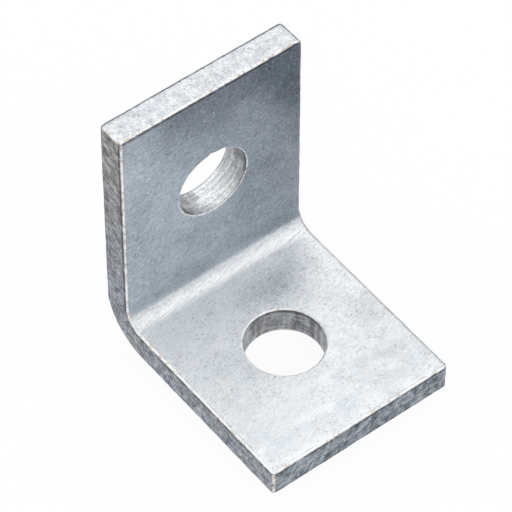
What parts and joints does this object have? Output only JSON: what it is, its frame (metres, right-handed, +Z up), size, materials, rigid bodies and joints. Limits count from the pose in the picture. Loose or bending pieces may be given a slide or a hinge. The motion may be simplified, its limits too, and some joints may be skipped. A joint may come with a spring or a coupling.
{
  "type": "strut angle fitting",
  "caption": "Short length of thick galvanised flat bar bent square into an L, with a round bolt hole through the middle of each leg.",
  "frame": {"origin": "centre of the base leg's bolt hole, on the underside of the base leg", "axes": "+X along the base leg to its free end, +Y across the width, +Z up along the upright leg"},
  "size_m": [0.0508, 0.0412, 0.0572],
  "materials": {
    "galvanised_steel": "hot-dip galvanised, satin, finely mottled bluish light grey"
  },
  "bodies": {
    "root": {"strut_angle": "galvanised_steel"}
  },
  "joints": []
}
